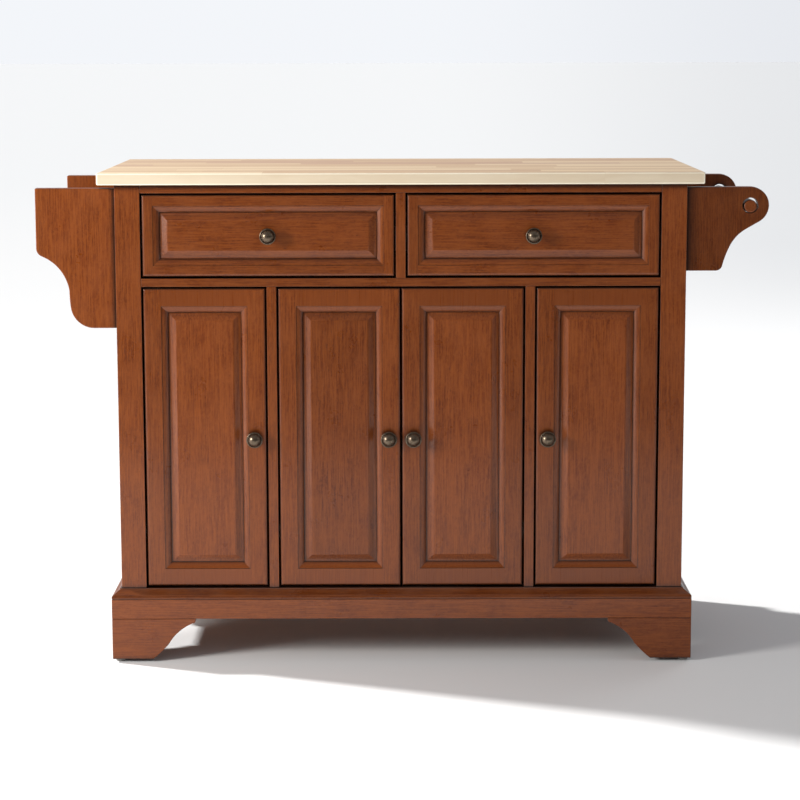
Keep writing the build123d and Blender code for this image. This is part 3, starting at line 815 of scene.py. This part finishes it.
drawerBox = {"wall": 12 * mm, "ease": 1.2 * mm, "bottomEase": 0.3 * mm}
for name in drawers:
    low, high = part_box(name + "_box")
    wall = drawerBox["wall"]
    inLeft, inRight = low[0] + wall, high[0] - wall
    mesh = startMesh()
    addBoard(mesh, low, (inLeft, high[1], high[2]), "Y")
    addBoard(mesh, (inRight, low[1], low[2]), high, "Y")
    addBoard(mesh, (inLeft, low[1], low[2]), (inRight, low[1] + wall, high[2]), "X")
    addBoard(mesh, (inLeft, high[1] - wall, low[2]), (inRight, high[1], high[2]), "X")
    finishPiece(mesh, name + "_boxBoards", name, name + "_box", "drawer_wood", drawerBox["ease"])
    mesh = startMesh()
    addBoard(mesh, *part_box(name + "_bottom"), "X")
    finishPiece(mesh, name + "_boxBottom", name, name + "_bottom", "drawer_wood",
                drawerBox["bottomEase"])
print("drawer boxes made")


def pushOut(outline, near, far):
    # the faces between an outline's near and far copies, then the two copies
    count = len(outline)
    sides = [[near(*outline[i]), near(*outline[(i + 1) % count]),
              far(*outline[(i + 1) % count]), far(*outline[i])] for i in range(count)]
    return sides + [[end(*point) for point in outline] for end in (near, far)]


# plinth and base moulding: mitred lengths round the case

plinth = {"out": 17.3 * mm, "ease": 1.0 * mm}
moulding = {"lip": 3.5 * mm, "noseIn": 5 * mm, "noseUp": 9 * mm, "top": 3 * mm,
            "ease": 0.3 * mm, "shade": -0.7}


def mitredRing(name, node, profile, ease, shade=None):
    # profile is (outwards from the case, height) points, closed
    low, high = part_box(node)
    caseX, caseY = high[0] - plinth["out"], high[1] - plinth["out"]
    mesh = startMesh()
    for turn in range(4):
        across, reach = (caseX, caseY) if turn % 2 == 0 else (caseY, caseX)
        c, s = (1, 0, -1, 0)[turn], (0, 1, 0, -1)[turn]

        def spot(out, height, side):
            x, y = side * (across + out), -(reach + out)
            return (c * x - s * y, s * x + c * y, height)

        faces = pushOut(profile, lambda *point: spot(*point, -1), lambda *point: spot(*point, 1))
        addFaces(mesh, faces, "X" if turn % 2 == 0 else "Y", shade)
    finishPiece(mesh, name, "cabinet", node, "cherry_wood", ease)


low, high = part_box("plinth_rails")
out = plinth["out"]
profile = [(0, low[2]), (out, low[2]), (out, high[2]), (0, high[2])]
mitredRing("plinthRails", "plinth_rails", profile, plinth["ease"])

low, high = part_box("base_moulding")
base, cap, crown = low[2], high[2], moulding["top"]
nose = (out - moulding["noseIn"], base + moulding["noseUp"])
profile = [(0, cap), (0, base), (out - 0.6 * mm, base), (out - 0.6 * mm, base + 1.2 * mm),
           (out, base + 1.6 * mm), (out, base + moulding["lip"])]
profile = followArcs(profile, [((out - 1.1 * mm, base + 6.6 * mm), nose, 5)])
profile += [(crown + 1 * mm, cap - 2.2 * mm), (crown, cap - 1.5 * mm), (crown, cap)]
mitredRing("baseMoulding", "base_moulding", profile, moulding["ease"], moulding["shade"])


# bracket feet

foot = {    # the outline is (out from the corner, up) in millimetres
    "flat": 76, "ogee": [((92, 14.5), (105, 28.5), 7), ((123, 51), (150, 68), 10)],
    "shoulder": (155.2, 71.5), "length": 156,
    "board": 20 * mm, "block": 30 * mm, "blockUp": 20 * mm, "ease": 0.9 * mm,
}


def footOutline(height):
    arcs = foot["ogee"] + [(foot["shoulder"], (foot["length"], height / mm), 6)]
    points = followArcs([(0, 0), (foot["flat"], 0)], arcs) + [(0, height / mm)]
    return [(x * mm, z * mm) for x, z in points]


for node, sideY in (("feet_front", -1), ("feet_back", 1)):
    low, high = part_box(node)
    outerY = low[1] if sideY < 0 else high[1]
    outline = footOutline(high[2] - low[2])
    mesh = startMesh()
    for sideX in (-1, 1):
        outerX = low[0] if sideX < 0 else high[0]
        for swap in (False, True):

            def spot(out, up, deep):
                run = max(out, deep)      # the mitre at the corner
                a, b = (deep, run) if swap else (run, deep)
                return (outerX - sideX * a, outerY - sideY * b, low[2] + up)

            faces = pushOut(outline, lambda *point: spot(*point, 0),
                            lambda *point: spot(*point, foot["board"]))
            addFaces(mesh, faces, "Y" if swap else "X")
        near, far = foot["board"], foot["board"] + foot["block"]      # the glue block
        xs = sorted((outerX - sideX * near, outerX - sideX * far))
        ys = sorted((outerY - sideY * near, outerY - sideY * far))
        addBoard(mesh, (xs[0], ys[0], low[2] + foot["blockUp"]), (xs[1], ys[1], high[2]), "Z")
    finishPiece(mesh, node + "_boards", "cabinet", node, "cherry_wood", foot["ease"])
print("base made")


# end brackets, their outlines (out from the case, down from the top) in millimetres

rack = {
    "corners": [(0, 0), (146, 0), (146, 111)], "drop": 257.7, "ease": 1.8 * mm, "shade": 1.1,
    "curve": [((143.5, 119), (136, 125), 6), ((101, 153), (87, 188), 14),
              ((86.6, 202), (85, 219), 4), ((70.5, 247), (43, 257.7), 12)],
}
towel = {
    "corners": [(0, 0), (117, 0)], "eye": [((151, 34), (134, 63.4), 22)], "neck": (112, 76.1),
    "curve": [((91.3, 92.5), (79, 112), 9), ((72.8, 127), (68, 142), 5), ((64, 150.5), (56, 154), 6)],
    "drop": 154, "ease": 1.6 * mm, "shade": -0.9, "hole": (117, 34), "holeRadius": 14, "holeSteps": 40,
}
bracketSegments = 3
flatBend = math.radians(0.5)

rackOutline = followArcs(rack["corners"], rack["curve"]) + [(0, rack["drop"])]
towelOutline = followArcs(towel["corners"], towel["eye"]) + [towel["neck"]]
towelOutline = followArcs(towelOutline, towel["curve"]) + [(0, towel["drop"])]
holeOutline = [(towel["hole"][0] + x, towel["hole"][1] + y)
               for x, y in circle(towel["holeRadius"], towel["holeSteps"])]


def makeBrackets(name, node, side, outlines, look):
    # side is -1 on the left end of the case and 1 on the right end
    mesh = startMesh()
    for low, high in islandBoxes(node):
        wallX = high[0] if side < 0 else low[0]
        edges = []
        for outline in outlines:
            ring = [mesh.verts.new((wallX + side * out * mm, low[1], high[2] - down * mm))
                    for out, down in outline]
            edges += [mesh.edges.new((ring[i], ring[(i + 1) % len(ring)])) for i in range(len(ring))]
        filled = bmesh.ops.triangle_fill(mesh, use_beauty=True, use_dissolve=False, edges=edges)
        faces = [item for item in filled["geom"] if isinstance(item, bmesh.types.BMFace)]
        pushed = bmesh.ops.extrude_face_region(mesh, geom=faces, use_keep_orig=True)["geom"]
        moved = [item for item in pushed if isinstance(item, bmesh.types.BMVert)]
        bmesh.ops.translate(mesh, verts=moved, vec=(0, high[1] - low[1], 0))
        fresh = {vert for face in faces for vert in face.verts} | set(moved)
        # the fixed shade paints the left rack brackets lighter and the right towel brackets darker:
        # painted light and painted shade, as the light falls
        layGrain(mesh, fresh, "Z", shade=look["shade"])
    bmesh.ops.recalc_face_normals(mesh, faces=mesh.faces)
    bmesh.ops.dissolve_limit(mesh, angle_limit=flatBend, verts=mesh.verts, edges=mesh.edges)
    finishPiece(mesh, name, "cabinet", node, "cherry_wood", look["ease"], bracketSegments)


makeBrackets("rackBrackets", "rack_brackets", -1, [rackOutline], rack)
makeBrackets("towelBrackets", "towel_brackets", 1, [towelOutline, holeOutline], towel)

bar = {"round": 3 * mm, "steps": 6}
low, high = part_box("towel_bar")
middle = middleOf(low, high)
radius, half = (high[0] - low[0]) / 2, (high[1] - low[1]) / 2
turns = [math.pi / 2 * step / bar["steps"] for step in range(bar["steps"] + 1)]
dome = [(0, -half)] + [(radius - bar["round"] + bar["round"] * math.sin(turn),
                        -half + bar["round"] * (1 - math.cos(turn))) for turn in turns]
mesh = startMesh()
lathe(mesh, dome + [(out, -reach) for out, reach in reversed(dome)], (middle[0], 0, middle[2]))
finishPiece(mesh, "towelBar", "towel_bar", "towel_bar", "cherry_wood")
print("rack and towel bar made")


# knobs, in millimetres: (radius, distance from the front), which is less than nought outwards

knob = {
    "rosette": 8.0, "stem": 5.4, "radius": 15.0, "dome": 13.0, "domeFoot": 12.0, "domeSteps": 10,
    "reach": 25.0, "bead": [(13.4, -16.6), (12.9, -16.1), (12.3, -16.0), (12.0, -16.6)],
}
knobScrew = {"shank": 2.0, "start": 0.2, "head": 4.5, "crown": 3.6, "crownDeep": 0.7,
             "headDeep": 2.2, "steps": 24}


def knobProfile():
    # from the back to the top of the dome
    rosette = knob["rosette"]
    points = [(0, 0), (rosette - 0.4, 0), (rosette, -0.4), (rosette, -1.3), (7.6, -1.8)]
    points = followArcs(points, [((knob["stem"], -6.5), (8.0, -12.3), 8),
                                 ((12.4, -13.0), (14.7, -14.2), 5),
                                 ((knob["radius"], -15.2), (14.2, -16.4), 5)]) + knob["bead"]
    flare = math.asin(knob["domeFoot"] / knob["dome"])
    for step in range(1, knob["domeSteps"] + 1):
        turn = flare * (1 - step / knob["domeSteps"])
        rise = knob["dome"] * (1 - math.cos(turn)) - knob["reach"]
        points.append((knob["dome"] * math.sin(turn), rise))
    return [(radius * mm, reach * mm) for radius, reach in points]


def screwProfile(length):
    # from the tip of the shank to the head
    shank, head, crown = (knobScrew[part] * mm for part in ("shank", "head", "crown"))
    under, rim = length - knobScrew["headDeep"] * mm, length - knobScrew["crownDeep"] * mm
    start = knobScrew["start"] * mm
    return [(0, start), (shank, start), (shank, under), (head, under), (head, rim),
            (crown, length), (0, length)]


for name in doors + drawers:
    low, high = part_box(name + "_knob")
    middle = middleOf(low, high)
    centre = (middle[0], low[1] + knob["reach"] * mm, middle[2])
    mesh = startMesh()
    lathe(mesh, knobProfile(), centre)
    lathe(mesh, screwProfile(high[1] - centre[1]), centre, knobScrew["steps"])
    finishPiece(mesh, name + "_knobTurned", name, name + "_knob", "knob_bronze")
print("knobs made")


# frame nodes whose shape is right keep it and only take a finish

finishes = {
    "side_panels": cherryUpright, "back_panel": cherryUpright, "door_partitions": innerUpright,
    "drawer_partition": innerUpright, "hinge_packers": innerUpright, "bottom_panel": innerLevel,
    "drawer_deck": innerLevel, "slide_spacers": innerLevel, "top_cleats": innerLevel,
    "shelf_pins": steel, "wood_screws": steel, "slide_cabinet_members": steel,
    "hinge_arms": steel, "runner_left": steel, "runner_right": steel, "foot_glides": glidePlastic,
}
finishes.update({name + "_hinge_cups": steel for name in doors})
finishes.update({name + "_slide_members": steel for name in drawers})
for node, material in finishes.items():
    data = nodes[node].data
    data.materials.clear()
    data.materials.append(material)
print("frame nodes finished")


# floor, lights and camera

def makeSheet(name, corners, material):
    # a flat sheet for the set round the object, such as the floor or the dark card
    data = bpy.data.meshes.new(name)
    data.from_pydata(corners, [], [(0, 1, 2, 3)])
    data.materials.append(material)
    sheet = bpy.data.objects.new(name, data)
    scene.collection.objects.link(sheet)
    return sheet


floor = {
    "size": 240.0, "near": rgb(0.81, 0.815, 0.82), "far": rgb(0.76, 0.775, 0.79),
    "right": rgb(0.655, 0.67, 0.69), "farRange": (1.5, 14.0), "awayRange": (1.5, 8.0),
    "leanStart": 4.0, "leanRange": (0.0, 0.22),
}


def makeFloor(look):
    # paler near the table, darker far away and to the right: painted shade where the light falls off
    material, tree, shader = startMaterial("paleFloor", Roughness=0.9, Specular_IOR_Level=0.0)
    x, y, _ = splitSpot(tree, objectSpot(tree))
    colour = mixColour(tree, spread(tree, y, *look["farRange"]), look["near"], look["far"])
    depth = doMath(tree, "ADD", doMath(tree, "ABSOLUTE", y), look["leanStart"])
    lean = spread(tree, doMath(tree, "DIVIDE", x, depth), *look["leanRange"])
    away = doMath(tree, "MULTIPLY", lean, spread(tree, y, *look["awayRange"]))
    feed(tree, shader.inputs["Base Color"], mixColour(tree, away, colour, look["right"]))
    half = look["size"] / 2
    makeSheet("floor", [(-half, -half, 0), (half, -half, 0), (half, half, 0), (-half, half, 0)], material)


room = {
    "seenLeft": rgb(0.90, 0.92, 0.955), "seenRight": rgb(0.80, 0.82, 0.86),
    "seenRange": (0.0, 0.22), "fill": rgb(0.33, 0.33, 0.34),
}


def makeRoom(look):
    # the backdrop that the camera sees, darker to the right as painted shade, and a dimmer one that
    # lights the set
    world = bpy.data.worlds.new("softRoom")
    world.use_nodes = True
    tree = world.node_tree
    ray = tree.nodes.new("ShaderNodeLightPath").outputs["Is Camera Ray"]
    x = splitSpot(tree, tree.nodes.new("ShaderNodeTexCoord").outputs["Generated"])[0]
    seen = mixColour(tree, spread(tree, x, *look["seenRange"]), look["seenLeft"], look["seenRight"])
    feed(tree, tree.nodes["Background"].inputs["Color"], mixColour(tree, ray, look["fill"], seen))
    scene.world = world


makeFloor(floor)
makeRoom(room)
scene.view_settings.view_transform = "Standard"


def addLamp(name, kind, spot, aim, power, colour):
    light = bpy.data.lights.new(name, kind)
    light.energy = power
    light.color = colour
    lamp = bpy.data.objects.new(name, light)
    lamp.location = spot
    lamp.rotation_euler = (Vector(aim) - Vector(spot)).to_track_quat("-Z", "Y").to_euler()
    scene.collection.objects.link(lamp)
    return light


lamps = {   # place, aim, width, height, power, colour
    "key": ((-2.85, -1.7, 1.4), (-0.1, -0.2, 0.5), 0.8, 1.0, 98, (1.0, 0.97, 0.93)),
    "rightFill": ((3.4, -1.0, 2.2), (0, 0, 0.5), 1.6, 1.6, 4, (0.95, 0.97, 1.0)),
    "backFill": ((3.0, 3.0, 2.6), (0.4, 0, 0.3), 1.8, 1.8, 22, (0.95, 0.97, 1.0)),
}
for name, (spot, aim, width, height, power, colour) in lamps.items():
    light = addLamp(name, "AREA", spot, aim, power, colour)
    light.shape = "RECTANGLE"
    light.size, light.size_y = width, height

window = {"from": (-8.2, 3.05, 4.85), "power": 5.7, "colour": (1.0, 0.99, 0.97), "spread": 4.0}
light = addLamp("window", "SUN", window["from"], (0, 0, 0), window["power"], window["colour"])
light.angle = math.radians(window["spread"])

# a dark card in front of the set, met only by reflections, keeps the polish deep
darkCard = {"y": -2.05, "half": 6, "low": 0.002, "high": 1.25, "colour": rgb(0.02, 0.02, 0.02)}
half, y = darkCard["half"], darkCard["y"]
material, tree, shader = startMaterial("darkCard", Base_Color=darkCard["colour"], Roughness=0.9)
card = makeSheet("darkCard", [(-half, y, darkCard["low"]), (half, y, darkCard["low"]),
                              (half, y, darkCard["high"]), (-half, y, darkCard["high"])], material)
card.visible_camera = card.visible_diffuse = card.visible_shadow = False

view = {"place": (-0.0005, -3.902, 1.1445), "down": 7.51, "roll": 0.139, "lens": 91.5, "shift": -0.11}
camera = bpy.data.objects.new("camera", bpy.data.cameras.new("camera"))
camera.location = view["place"]
camera.rotation_euler = (math.radians(90 - view["down"]), math.radians(view["roll"]), 0)
camera.data.lens = view["lens"]
camera.data.shift_y = view["shift"]
scene.collection.objects.link(camera)
scene.camera = camera
print("stage set")
